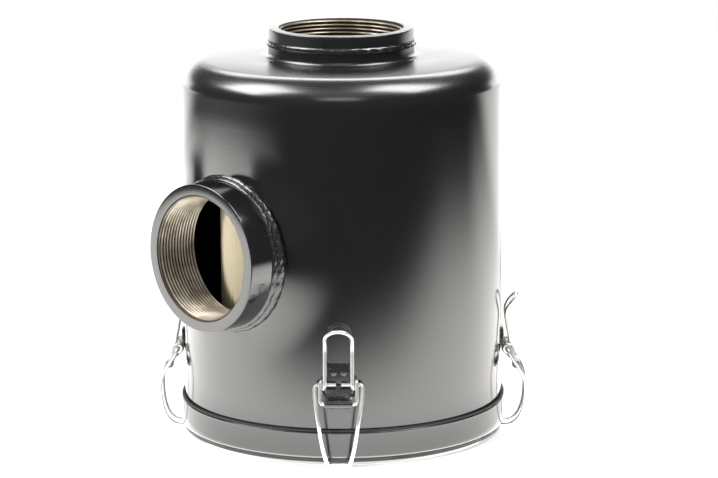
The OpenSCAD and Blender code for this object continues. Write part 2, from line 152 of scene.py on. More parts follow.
class Bench:
    """The tools that shape a piece, each working on fresh, selected geometry."""

    @staticmethod
    def clear() -> None:
        """Leaves edit mode and lets go of everything."""
        if bpy.context.mode != "OBJECT":
            bpy.ops.object.mode_set(mode="OBJECT")
        bpy.ops.object.select_all(action="DESELECT")

    @staticmethod
    def pick(piece: bpy.types.Object) -> None:
        """Makes a piece the only selected one."""
        Bench.clear()
        piece.select_set(True)
        bpy.context.view_layer.objects.active = piece

    @staticmethod
    def take_all() -> None:
        """Enters edit mode with the whole of the active piece selected."""
        bpy.ops.object.mode_set(mode="EDIT")
        bpy.ops.mesh.select_all(action="SELECT")

    @staticmethod
    def ring(name: str, points: Sequence[Vector]) -> bpy.types.Object:
        """A closed wire ring through given points.

        Args:
            name: Name of the new piece.
            points: Points in metres, in order.

        Returns:
            The piece, whose vertices follow the points.
        """
        Bench.clear()
        bpy.ops.mesh.primitive_circle_add(vertices=len(points), radius=1, fill_type="NOTHING")
        piece = bpy.context.object
        piece.name = piece.data.name = name
        for vertex, point in zip(piece.data.vertices, points):
            vertex.co = point
        return piece

    @staticmethod
    def turned(name: str, outline: Sequence[Point], steps: int = 256) -> bpy.types.Object:
        """A piece turned about Z on a lathe.

        Args:
            name: Name of the new piece.
            outline: Closed outline as radius and height, in millimetres.
            steps: Facets around the axis.

        Returns:
            The turned piece, closed and facing outwards.
        """
        piece = Bench.ring(name, [Vector((r * MM, 0, z * MM)) for r, z in outline])
        Bench.take_all()
        bpy.ops.mesh.spin(steps=steps, angle=math.tau, center=(0, 0, 0), axis=(0, 0, 1), dupli=False)
        Bench.tidy_faces()
        return piece

    @staticmethod
    def pressed(name: str, outline: Sequence[Point], width: float) -> bpy.types.Object:
        """A bar of one section across a latch, centred on the latch's middle.

        Args:
            name: Name of the new piece.
            outline: Closed outline as distance and height, in millimetres.
            width: Width of the bar in millimetres.

        Returns:
            The closed bar.
        """
        left = -width / 2 * MM
        piece = Bench.ring(name, [Vector((left, -r * MM, z * MM)) for r, z in outline])
        Bench.take_all()
        bpy.ops.mesh.edge_face_add()
        bpy.ops.mesh.extrude_region_move(TRANSFORM_OT_translate={"value": (width * MM, 0, 0)})
        Bench.tidy_faces()
        return piece

    @staticmethod
    def tidy_faces() -> None:
        """Merges doubles and turns all faces of the piece in edit mode outwards, then leaves that mode."""
        bpy.ops.mesh.select_all(action="SELECT")
        bpy.ops.mesh.remove_doubles(threshold=1e-6)
        bpy.ops.mesh.normals_make_consistent(inside=False)
        bpy.ops.object.mode_set(mode="OBJECT")

    @staticmethod
    def wound(name: str, path: Sequence[Vector], radius: float) -> bpy.types.Object:
        """Round wire bent along a path.

        Args:
            name: Name of the new piece.
            path: Points in metres.
            radius: Radius of the wire in millimetres.

        Returns:
            The wire as a closed mesh.
        """
        Bench.clear()
        bpy.ops.curve.primitive_nurbs_path_add()
        piece = bpy.context.object
        piece.name = piece.data.name = name
        curve = piece.data
        curve.splines.clear()
        spline = curve.splines.new("POLY")
        spline.points.add(len(path) - 1)
        for spot, point in zip(spline.points, path):
            spot.co = (*point, 1)
        curve.dimensions = "3D"
        curve.twist_mode = "MINIMUM"
        curve.bevel_depth = radius * MM
        curve.bevel_resolution = 4
        curve.use_fill_caps = True
        bpy.ops.object.convert(target="MESH")
        piece = bpy.context.object
        bpy.ops.object.mode_set(mode="EDIT")
        Bench.tidy_faces()
        return piece

    @staticmethod
    def modified(piece: bpy.types.Object, kind: str, **settings: Any) -> None:
        """Adds a modifier to a piece and applies it.

        Args:
            piece: Piece to change.
            kind: Modifier's type.
            settings: Modifier's values.
        """
        Bench.pick(piece)
        modifier = piece.modifiers.new(kind.title(), kind)
        for key, value in settings.items():
            setattr(modifier, key, value)
        bpy.ops.object.modifier_apply(modifier=modifier.name)

    @staticmethod
    def cut(piece: bpy.types.Object, tool: bpy.types.Object, how: str = "DIFFERENCE") -> None:
        """Combines a piece with a tool that is then thrown away.

        Args:
            piece: Piece that stays.
            tool: Piece that is cut off, added or kept in common.
            how: Boolean operation.
        """
        Bench.modified(piece, "BOOLEAN", operation=how, object=tool, solver="EXACT")
        bpy.data.objects.remove(tool)

    @staticmethod
    def joined(pieces: Sequence[bpy.types.Object]) -> bpy.types.Object:
        """Several pieces as one, under the first one's name."""
        Bench.pick(pieces[0])
        for piece in pieces:
            piece.select_set(True)
        bpy.ops.object.join()
        return bpy.context.object

    @staticmethod
    def placed(piece: bpy.types.Object, place: Matrix) -> bpy.types.Object:
        """Moves a piece's mesh, so that its object stays at the origin."""
        Bench.pick(piece)
        piece.matrix_world = place
        bpy.ops.object.transform_apply(location=True, rotation=True, scale=True)
        return piece

    @staticmethod
    def copied(piece: bpy.types.Object, name: str, place: Matrix) -> bpy.types.Object:
        """A copy of a piece with its own mesh, in another place."""
        Bench.pick(piece)
        bpy.ops.object.duplicate(linked=False)
        twin = bpy.context.object
        twin.name = twin.data.name = name
        return Bench.placed(twin, place)

    @staticmethod
    def measured(piece: bpy.types.Object, name: str, gauge: Callable[[Vector], float]) -> None:
        """Writes a number on each vertex of a piece, for its paint to read.

        Args:
            piece: Piece to measure.
            name: Name of the attribute.
            gauge: Gives the number from a vertex's place, in metres.
        """
        values = piece.data.attributes.new(name, "FLOAT", "POINT")
        for vertex, value in zip(piece.data.vertices, values.data):
            value.value = gauge(vertex.co)

    @staticmethod
    def smooth(piece: bpy.types.Object, angle: float = 30) -> bpy.types.Object:
        """Shades a piece smooth, with edges sharper than an angle in degrees kept."""
        Bench.pick(piece)
        bpy.ops.object.shade_smooth_by_angle(angle=math.radians(angle))
        return piece

    @staticmethod
    def shifted(piece: bpy.types.Object, move: Callable[[Vector], Vector]) -> None:
        """Moves each vertex of a piece by a rule, as a hammer would.

        Args:
            piece: Piece to change.
            move: Gives a vertex's new place from its old one, in metres.
        """
        for vertex in piece.data.vertices:
            vertex.co = move(vertex.co.copy())


# ---------------------------------------------------------------------------------------------------
# Shader work
# ---------------------------------------------------------------------------------------------------

class Signal:
    """Output of a shader node, on which arithmetic is written as on a number."""

    def __init__(self, shop: "NodeShop", socket: bpy.types.NodeSocket) -> None:
        """Wraps a socket of a shop's node tree."""
        self.shop = shop
        self.socket = socket

    def _math(self, operation: str, first: Any, second: Any) -> "Signal":
        """Adds a Math node to the tree."""
        return self.shop.node("ShaderNodeMath", {"operation": operation}, {0: first, 1: second})

    def __add__(self, other: Any) -> "Signal":
        """Sum."""
        return self._math("ADD", self, other)

    def __radd__(self, other: Any) -> "Signal":
        """Sum with the number first."""
        return self._math("ADD", other, self)

    def __sub__(self, other: Any) -> "Signal":
        """Difference."""
        return self._math("SUBTRACT", self, other)

    def __rsub__(self, other: Any) -> "Signal":
        """Difference with the number first."""
        return self._math("SUBTRACT", other, self)

    def __mul__(self, other: Any) -> "Signal":
        """Product."""
        return self._math("MULTIPLY", self, other)

    def __rmul__(self, other: Any) -> "Signal":
        """Product with the number first."""
        return self._math("MULTIPLY", other, self)

    def __truediv__(self, other: Any) -> "Signal":
        """Quotient."""
        return self._math("DIVIDE", self, other)

    def __pow__(self, other: Any) -> "Signal":
        """Power."""
        return self._math("POWER", self, other)

    def max(self, other: Any) -> "Signal":
        """The larger of two."""
        return self._math("MAXIMUM", self, other)


class NodeShop:
    """A node tree that is filled node by node."""

    def __init__(self, tree: bpy.types.NodeTree) -> None:
        """Empties the tree."""
        self.tree = tree
        tree.nodes.clear()

    def node(self, kind: str, settings: dict[str, Any] | None = None,
             inputs: dict[str | int, Any] | None = None, output: str | int = 0) -> Signal:
        """Adds a node.

        Args:
            kind: Node's type.
            settings: Its settings, such as a Math node's operation.
            inputs: Values or signals for its sockets, by name or number.
            output: Socket that is given back.

        Returns:
            The wanted output.
        """
        node = self.tree.nodes.new(kind)
        for key, value in (settings or {}).items():
            setattr(node, key, value)
        for key, value in (inputs or {}).items():
            if isinstance(value, Signal):
                self.tree.links.new(value.socket, node.inputs[key])
            else:
                node.inputs[key].default_value = value
        return Signal(self, node.outputs[output]) if len(node.outputs) else Signal(self, None)

    def mark(self, name: str) -> Signal:
        """A number that the piece carries on its vertices."""
        return self.node("ShaderNodeAttribute", {"attribute_name": name}, output="Fac")

    def place(self) -> Signal:
        """Object coordinates."""
        return self.node("ShaderNodeTexCoord", output="Object")

    def parts(self, vector: Signal) -> tuple[Signal, Signal, Signal]:
        """The three numbers of a vector."""
        split = self.node("ShaderNodeSeparateXYZ", inputs={0: vector})
        outputs = split.socket.node.outputs
        return tuple(Signal(self, outputs[i]) for i in range(3))

    def noise(self, scale: float, detail: float = 3, rough: float = 0.5,
              vector: Signal | None = None) -> Signal:
        """Noise from 0 to 1 with a scale in grains per metre."""
        return self.node("ShaderNodeTexNoise", {}, {
            "Vector": vector or self.place(), "Scale": scale, "Detail": detail, "Roughness": rough})

    def mapped(self, value: Signal, low: float, high: float, to_low: float = 0, to_high: float = 1) -> Signal:
        """Carries one range of numbers onto another with soft ends and clips it."""
        return self.node("ShaderNodeMapRange", {"interpolation_type": "SMOOTHSTEP"}, {
            "Value": value, "From Min": low, "From Max": high, "To Min": to_low, "To Max": to_high})

    def stretched(self, along: float) -> Signal:
        """Object coordinates for a pattern drawn out along Z."""
        return self.node("ShaderNodeMapping", {}, {"Vector": self.place(), "Scale": (1.0, 1.0, along)})

    def light(self, kind: str, colour: Colour, strength: Any) -> Signal:
        """Emission or Background of a colour, as bright as a number or signal says."""
        return self.node(f"ShaderNode{kind}", {}, {"Color": (*colour, 1), "Strength": strength})

    def mixed(self, factor: Signal, first: Any, second: Any) -> Signal:
        """A colour between two."""
        node = self.node("ShaderNodeMix", {"data_type": "RGBA"}, {0: factor}).socket.node
        for socket, value in ((node.inputs[6], first), (node.inputs[7], second)):
            if isinstance(value, Signal):
                self.tree.links.new(value.socket, socket)
            else:
                socket.default_value = (*value, 1)
        return Signal(self, node.outputs[2])

    def bump(self, height: Signal, distance: float) -> Signal:
        """Surface relief, with its depth in metres."""
        return self.node("ShaderNodeBump", {}, {"Height": height, "Distance": distance, "Strength": 1})

    def finish(self, shader: Signal, kind: str = "ShaderNodeOutputMaterial") -> None:
        """Sends a shader to the tree's output."""
        self.node(kind, {}, {0: shader})


class Finish:
    """What all finishes share: a material made once and then handed out."""

    title: str = "finish"
    made: dict[str, bpy.types.Material] = {}

    def dress(self, shop: NodeShop) -> dict[str | int, Any]:
        """Gives the shader's sockets; each finish has its own."""
        raise NotImplementedError

    def material(self) -> bpy.types.Material:
        """The finish as a material."""
        if self.title not in Finish.made:
            material = bpy.data.materials.new(self.title)
            material.use_nodes = True
            shop = NodeShop(material.node_tree)
            shop.finish(shop.node("ShaderNodeBsdfPrincipled", {}, self.dress(shop)))
            Finish.made[self.title] = material
        return Finish.made[self.title]


@dataclass(frozen=True)
class Enamel(Finish):
    """Sprayed gloss enamel with a faint orange peel and a little dust."""

    title: str = "gloss_enamel"
    colour: Colour = (0.0090, 0.0094, 0.0100)
    rough: float = 0.13
    top_rough: float = 0.28
    ior: float = 1.9
    overspray: Point = (0.205, 0.229)
    patch_share: float = 0.05
    peel: float = 0.000012
    dust: float = 0.25
    dust_colour: Colour = (0.22, 0.215, 0.21)

    def dress(self, shop: NodeShop) -> dict[str | int, Any]:
        """Colour with dust specks, a roof dulled by overspray, and the peel as relief."""
        _, _, height = shop.parts(shop.place())
        overspray = shop.mapped(height, *self.overspray)
        patches = shop.noise(35, 4)
        specks = shop.mapped(shop.noise(2600, 1), 0.70, 0.80)
        drift = shop.mapped(shop.noise(14, 2), 0.42, 0.66)
        dusty = specks * drift * self.dust
        peel = shop.noise(420, 2) * 0.8 + shop.noise(1500, 1) * 0.2
        rough = overspray * (self.top_rough - self.rough) + self.rough
        return {
            "Base Color": shop.mixed(dusty, self.colour, self.dust_colour),
            "Roughness": rough + (patches - 0.5) * self.patch_share,
            "IOR": self.ior,
            "Normal": shop.bump(peel, self.peel),
        }


@dataclass(frozen=True)
class Rubber(Finish):
    """Moulded rubber with a dull skin."""

    title: str = "moulded_rubber"
    colour: Colour = (0.014, 0.014, 0.014)
    bloom_colour: Colour = (0.03, 0.029, 0.028)

    def dress(self, shop: NodeShop) -> dict[str | int, Any]:
        """Dull black with bloom in patches and a fine grain."""
        bloom = shop.mapped(shop.noise(60, 4), 0.45, 0.75)
        return {
            "Base Color": shop.mixed(bloom, self.colour, self.bloom_colour),
            "Roughness": 0.62 + bloom * 0.18,
            "Normal": shop.bump(shop.noise(2200, 2), 0.00002),
        }


@dataclass(frozen=True)
class CapPlastic(Finish):
    """Cast end cap of the cartridge."""

    title: str = "cast_end_cap"
    colour: Colour = (0.060, 0.062, 0.066)
    mottle_colour: Colour = (0.10, 0.10, 0.105)

    def dress(self, shop: NodeShop) -> dict[str | int, Any]:
        """Grey with cast mottling and a fine skin."""
        mottle = shop.noise(90, 5)
        return {
            "Base Color": shop.mixed(mottle, self.colour, self.mottle_colour),
            "Roughness": 0.48 + mottle * 0.2,
            "Normal": shop.bump(shop.noise(1600, 3), 0.00003),
        }


@dataclass(frozen=True)
class FilterPaper(Finish):
    """Resin-bound filter paper with long fibres, with painted shade in its folds."""

    title: str = "resin_paper"
    colour: Colour = (0.70, 0.61, 0.42)
    fibre_colour: Colour = (0.90, 0.83, 0.64)
    fold_shade_colour: Colour = (0.24, 0.18, 0.10)

    def dress(self, shop: NodeShop) -> dict[str | int, Any]:
        """Cream with darker resin patches and fibres drawn out along the folds."""
        fibres = shop.noise(1500, 5, 0.7, shop.stretched(0.16))
        resin = shop.noise(70, 4)
        tone = fibres * 0.6 + resin * 0.4
        paper = shop.mixed(tone, self.colour, self.fibre_colour)
        return {
            # Painted shade: the paper darkens towards the inner ends of its folds.
            "Base Color": shop.mixed(shop.mark("crease"), paper, self.fold_shade_colour),
            "Roughness": 0.78 + fibres * 0.15,
            "Normal": shop.bump(fibres, 0.00008),
        }


@dataclass(frozen=True)
class PlatedSheet(Finish):
    """Plated steel sheet of the core."""

    title: str = "plated_sheet"
    colour: Colour = (0.55, 0.56, 0.57)
    spangle_colour: Colour = (0.66, 0.66, 0.64)

    def dress(self, shop: NodeShop) -> dict[str | int, Any]:
        """Grey metal with a spangle and rolling marks."""
        marks = shop.noise(1400, 3, 0.6, shop.stretched(0.05))
        spangle = shop.noise(160, 2)
        return {
            "Base Color": shop.mixed(spangle, self.colour, self.spangle_colour),
            "Metallic": 1.0,
            "Roughness": 0.28 + marks * 0.2,
            "Normal": shop.bump(marks, 0.00001),
        }


@dataclass(frozen=True)
class ZincWire(Finish):
    """Drawn and zinc-plated spring wire."""

    title: str = "zinc_wire"
    colour: Colour = (0.80, 0.80, 0.79)
    spot_colour: Colour = (0.66, 0.66, 0.66)

    def dress(self, shop: NodeShop) -> dict[str | int, Any]:
        """Bright metal with duller spots and shallow draw marks."""
        spots = shop.mapped(shop.noise(260, 4), 0.52, 0.72)
        grain = shop.noise(2400, 2)
        return {
            "Base Color": shop.mixed(spots, self.colour, self.spot_colour),
            "Metallic": 0.72,
            "Roughness": 0.27 + spots * 0.14 + grain * 0.04,
            "Normal": shop.bump(grain, 0.000006),
        }


@dataclass(frozen=True)
class CutThread(Finish):
    """Bare thread, cut through the paint, with painted shade in its grooves."""

    title: str = "cut_thread"
    colour: Colour = (0.46, 0.41, 0.33)
    film_colour: Colour = (0.24, 0.195, 0.14)
    groove_shade_colour: Colour = (0.035, 0.029, 0.022)

    def dress(self, shop: NodeShop) -> dict[str | int, Any]:
        """Warm steel on the crests, brown film in patches and painted shade in the grooves."""
        film = shop.mapped(shop.noise(70, 5), 0.38, 0.68)
        chatter = shop.noise(1300, 2)
        # groove grows from crest to root; it paints shade into the roots and makes them rougher.
        groove = shop.mapped(shop.mark("groove"), 0.30, 0.85)
        steel = shop.mixed(film, self.colour, self.film_colour)
        return {
            "Base Color": shop.mixed(groove, steel, self.groove_shade_colour),
            "Metallic": 0.70,
            "Roughness": 0.34 + film * 0.16 + groove * 0.2,
            "Normal": shop.bump(chatter, 0.00002),
        }


@dataclass(frozen=True)
class WeldCoat(Finish):
    """Enamel over a weld, thick in the hollows and thin on the ripples."""

    title: str = "weld_enamel"
    colour: Colour = (0.013, 0.0135, 0.014)
    spatter_colour: Colour = (0.07, 0.068, 0.066)
    ior: float = 1.9

    def dress(self, shop: NodeShop) -> dict[str | int, Any]:
        """Black with greyer spatter and coarse relief."""
        spatter = shop.mapped(shop.noise(900, 3), 0.60, 0.74)
        lumps = shop.noise(520, 3)
        return {
            "Base Color": shop.mixed(spatter, self.colour, self.spatter_colour),
            "Roughness": 0.24 + spatter * 0.22,
            "IOR": self.ior,
            "Normal": shop.bump(lumps, 0.00004),
        }


@dataclass(frozen=True)
class BracketEnamel(Finish):
    """Enamel on the spot-welded brackets, scuffed by the wire."""

    title: str = "bracket_enamel"
    colour: Colour = (0.012, 0.012, 0.013)
    scuff_colour: Colour = (0.045, 0.045, 0.044)
    ior: float = 1.9

    def dress(self, shop: NodeShop) -> dict[str | int, Any]:
        """Black with grey scuffs, rougher where scuffed."""
        scuffs = shop.mapped(shop.noise(480, 5, 0.65), 0.54, 0.72)
        return {
            "Base Color": shop.mixed(scuffs, self.colour, self.scuff_colour),
            "Roughness": 0.24 + scuffs * 0.2,
            "IOR": self.ior,
            "Normal": shop.bump(shop.noise(500, 3), 0.00003),
        }


# ---------------------------------------------------------------------------------------------------
# Fitting a piece to the frame
# ---------------------------------------------------------------------------------------------------

def fit(piece: bpy.types.Object, finish: Finish, slot: str, body: str, *nodes: str) -> None:
    """Paints a piece, sets it on its body and lets it stand for its solids.

    Args:
        piece: Finished piece at the origin.
        finish: Its paint or skin.
        slot: Material slot of the record; not used.
        body: Body that carries it.
        nodes: Solids that it replaces.
    """
    piece.data.materials.clear()
    piece.data.materials.append(finish.material())
    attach(piece, body)
    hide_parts(*nodes)
    log.info("%s: %d faces on %s", piece.name, len(piece.data.polygons), body)


class Housing:
    """Marks a sub-assembly that never moves."""

    body = "housing"


@dataclass
class Canister(Housing):
    """Drawn pot with a collar on top and one on its side."""

    radius: float = 97.0
    wall: float = 1.5
    top: float = 230.0
    rim: float = 9.2
    shoulder: float = 16.0
    port: float = 44.0
    fillet: float = 3.0
    outlet_seam: float = 239.0
    inlet_seam: float = 99.4
    inlet_height: float = 123.0
    inlet_heading: float = 226.5
    flare_reach: float = 27.0
    flare_share: float = 0.75
    flare_power: float = 2.4
    flare_clear: float = 4.0
    flare_from: float = 40.0
    crown: float = 55.0
    crown_fall: float = 0.0014
    ring_low: float = 48.0
    ring_step: float = 2.5
    wall_rings: int = 61
    roof_out: float = 80.0
    roof_rings: int = 11
    ceiling_out: float = 75.0
    ceiling_rings: int = 5
    collar_from: float = 80.0
    around: int = 384
    around_inside: int = 192

    def inlet_place(self) -> Matrix:
        """Turns +Z to the inlet's axis."""
        return (Matrix.Translation((0, 0, self.inlet_height * MM))
                @ Matrix.Rotation(math.radians(self.inlet_heading), 4, "Z")
                @ Matrix.Rotation(math.pi / 2, 4, "Y"))

    def rod(self, radius: float, low: float, high: float, place: Matrix) -> bpy.types.Object:
        """Solid rod along a port's axis, as a cutting or adding tool."""
        tool = Bench.turned("rod", [(0, low), (radius, low), (radius, high), (0, high)], self.around_inside)
        return Bench.placed(tool, place)

    def pulled(self, spot: Vector) -> Vector:
        """Draws the wall out towards the side port, as the press did around its hole."""
        local = (self.inlet_place().inverted() @ spot) / MM
        gap = self.inlet_seam - self.flare_clear - local.z
        if reach(spot) < (self.radius - 0.5) * MM or gap <= 0 or local.z < self.flare_from:
            return spot
        near = min(max(1 - (reach(local) - self.port) / self.flare_reach, 0.0), 1.0)
        local.z += gap * self.flare_share * near ** self.flare_power
        return self.inlet_place() @ (local * MM)

    def crowned(self, outline: Sequence[Point]) -> list[Point]:
        """Lets the roof fall away a little towards the shoulder."""
        low = self.top - self.shoulder
        return [(r, z - self.crown_fall * max(r - self.crown, 0) ** 2 * max(z - low, 0) / self.shoulder)
                for r, z in outline]

    def shell(self) -> bpy.types.Object:
        """Spins the pot, draws its wall out and lets both collars into it."""
        bore = self.radius - self.wall
        centre = (self.radius - self.shoulder, self.top - self.shoulder)
        fillet = (self.port + self.fillet, self.top + self.fillet)
        outside = [(0, self.rim), (self.radius - 0.4, self.rim), (self.radius, self.rim + 0.4),
                   *[(self.radius, self.rim + 5 + 20 * i) for i in range(2)],
                   *[(self.radius, self.ring_low + self.ring_step * i) for i in range(self.wall_rings)],
                   *arc(centre, self.shoulder, 0, 90, 24),
                   *[(self.roof_out - self.ring_step * i, self.top) for i in range(self.roof_rings)],
                   *arc(fillet, self.fillet, 270, 180, 8),
                   (self.port, self.outlet_seam), (0, self.outlet_seam)]
        inside = [(0, self.rim - 2), (bore, self.rim - 2),
                  *arc(centre, self.shoulder - self.wall, 0, 90, 16),
                  *[(self.ceiling_out - 2 * self.ring_step * i, self.top - self.wall)
                    for i in range(self.ceiling_rings)], (0, self.top - self.wall)]
        pot = Bench.turned("canister_shell", self.crowned(outside), self.around)
        Bench.shifted(pot, self.pulled)
        side, level = self.inlet_place(), Matrix.Identity(4)
        neck = self.port - self.wall
        Bench.cut(pot, self.rod(self.port, self.collar_from, self.inlet_seam, side), "UNION")
        Bench.cut(pot, Bench.turned("hollow", self.crowned(inside), self.around_inside))
        Bench.cut(pot, self.rod(neck, self.collar_from, self.inlet_seam + 5, side))
        Bench.cut(pot, self.rod(neck, self.top - 10, self.outlet_seam + 5, level))
        return Bench.smooth(pot, 28)

    def build(self) -> None:
        """Makes and paints the pot."""
        fit(self.shell(), Enamel(), "black_gloss_paint", self.body, "canister")


@dataclass
class Port(Housing):
    """Threaded socket with its weld.

    A pass of the weld is its middle's radius, its drop below the seam and its bead's radius. Ripples
    are their number around the seam and their share of the bead.
    """

    name: str
    seam: float
    stand: float
    place: Matrix
    passes: tuple[Triple, ...] = ((44.0, 0.0, 1.9),)
    lump_heading: float = 0.0
    fine_ripples: Point = (71, 0.02)
    slow_ripples: Point = (23, 0.03)
    lumps: Triple = (37, 0.01, 0.10)
    flatten: Point = (0.22, 0.15)
    radius: float = 44.0
    spigot: float = 42.3
    length: float = 30.0
    crest: float = 36.1
    root: float = 37.592
    pitch: float = 2.309
    chamfer: float = 1.6
    edge: float = 0.7
    tooth_steps: int = 10
    turn_steps: int = 96
    around: int = 192
    weld_around: int = 480

    def ends(self) -> tuple[float, float]:
        """Heights of the socket's mouth and of its inner end."""
        mouth = self.seam + self.stand
        return mouth, mouth - self.length

    def body_outline(self) -> list[Point]:
        """Section of the socket behind its thread."""
        mouth, inner = self.ends()
        back = self.root + 0.2
        return [
            (back, inner), (self.spigot - 0.4, inner), (self.spigot, inner + 0.4), (self.spigot, self.seam),
            (self.radius, self.seam),
            *arc((self.radius - self.edge, mouth - self.edge), self.edge, 0, 90, 5), (back, mouth)]

    def thread(self) -> bpy.types.Object:
        """Screws one tooth's outline up the bore and bores its ends open."""
        mouth, inner = self.ends()
        turns = math.ceil(self.length / self.pitch) + 2
        start = inner - self.pitch
        depth = self.root - self.crest
        steps = self.tooth_steps
        tooth = [
            Vector(((self.crest + depth / 2 - depth / 2 * math.cos(math.tau * i / steps)) * MM, 0,
                    (start + self.pitch * i / steps) * MM)) for i in range(steps + 1)]
        piece = Bench.ring(f"{self.name}_thread", tooth)
        bpy.ops.object.mode_set(mode="EDIT")
        bpy.ops.mesh.select_all(action="DESELECT")
        bpy.ops.mesh.select_mode(type="EDGE")
        bpy.ops.object.mode_set(mode="OBJECT")
        for edge in piece.data.edges:
            edge.select = set(edge.vertices) == {0, len(tooth) - 1}
        bpy.ops.object.mode_set(mode="EDIT")
        bpy.ops.mesh.delete(type="EDGE")
        bpy.ops.mesh.select_mode(type="VERT")
        bpy.ops.object.mode_set(mode="OBJECT")
        Bench.modified(piece, "SCREW", axis="Z", angle=math.tau, screw_offset=self.pitch * MM,
                       iterations=turns, steps=self.turn_steps, render_steps=self.turn_steps,
                       use_smooth_shade=True)
        Bench.take_all()
        bpy.ops.mesh.remove_doubles(threshold=1e-6)
        for height, inner_side in ((mouth, False), (inner, True)):
            bpy.ops.mesh.select_all(action="SELECT")
            bpy.ops.mesh.bisect(plane_co=(0, 0, height * MM), plane_no=(0, 0, 1),
                                clear_outer=not inner_side, clear_inner=inner_side)
        bpy.ops.object.mode_set(mode="OBJECT")

        def open_ends(spot: Vector) -> Vector:
            """Keeps a point outside both chamfers."""
            end = min(mouth - spot.z / MM, spot.z / MM - inner)
            wide = self.root + 0.1
            bored = (wide - max(end, 0) * (wide - self.crest) / self.chamfer) * MM
            return drawn_to(spot, max(reach(spot), bored))

        Bench.shifted(piece, open_ends)
        # groove measures depth from crest to root, for the thread's painted shade and roughness.
        Bench.measured(piece, "groove", lambda spot: (reach(spot) / MM - self.crest) / depth)
        face = max(piece.data.polygons, key=lambda polygon: polygon.area)
        if face.normal.dot(Vector((face.center.x, face.center.y, 0))) > 0:
            Bench.pick(piece)
            Bench.take_all()
            bpy.ops.mesh.flip_normals()
            bpy.ops.object.mode_set(mode="OBJECT")
        return Bench.smooth(piece, 60)

    def weld(self) -> bpy.types.Object:
        """Lays the ripples of each pass around the seam."""
        outline: list[Point] = []
        for index, (radius, drop, bead) in enumerate(self.passes):
            middle = Vector((radius, self.seam - drop))
            foot = math.degrees(math.acos((self.radius + 0.05 - radius) / bead))
            start, end = foot, -foot
            if index > 0:
                start = math.degrees(math.atan2(*reversed(meeting - middle)))
            if index + 1 < len(self.passes):
                later, fall, wide = self.passes[index + 1]
                line = Vector((later, self.seam - fall)) - middle
                share = (bead ** 2 - wide ** 2 + line.length_squared) / (2 * line.length)
                along, out = line.normalized(), Vector((-line.y, line.x)).normalized()
                meeting = middle + along * share + out * math.sqrt(bead ** 2 - share ** 2)
                end = math.degrees(math.atan2(*reversed(meeting - middle)))
            outline += arc(tuple(middle), bead, start, end, 10)
        piece = Bench.turned(f"{self.name}_weld", outline, self.weld_around)

        fine, fine_share = self.fine_ripples
        slow, slow_share = self.slow_ripples
        lumps, lump_base, lump_share = self.lumps
        flat, round_share = self.flatten

        def ripple(spot: Vector) -> Vector:
            """Draws a point in and out with the torch's steps."""
            angle, radius = math.atan2(spot.y, spot.x), reach(spot)
            proud = max(radius - self.radius * MM, 0)
            rough = (0.5 + 0.5 * math.cos(angle - math.radians(self.lump_heading))) ** 8
            step = (math.sin(fine * angle + 2 * math.sin(5 * angle)) * fine_share
                    + math.sin(slow * angle + 1.3) * slow_share
                    + math.sin(lumps * angle + spot.z / MM * 2.2) * (lump_base + lump_share * rough))
            return drawn_to(spot, radius - proud * (flat - round_share * rough + step))

        Bench.shifted(piece, ripple)
        return Bench.smooth(piece, 80)

    def build(self) -> None:
        """Makes the socket, its thread and its weld."""
        node = f"{self.name}_socket"
        socket = Bench.smooth(Bench.turned(f"{node}_body", self.body_outline(), self.around))
        fit(Bench.placed(socket, self.place), Enamel(), "black_gloss_paint", self.body, node)
        thread = Bench.placed(self.thread(), self.place)
        fit(thread, CutThread(), "plated_steel", self.body, node)
        weld = Bench.placed(self.weld(), self.place)
        fit(weld, WeldCoat(), "black_gloss_paint", self.body, f"{self.name}_weld")


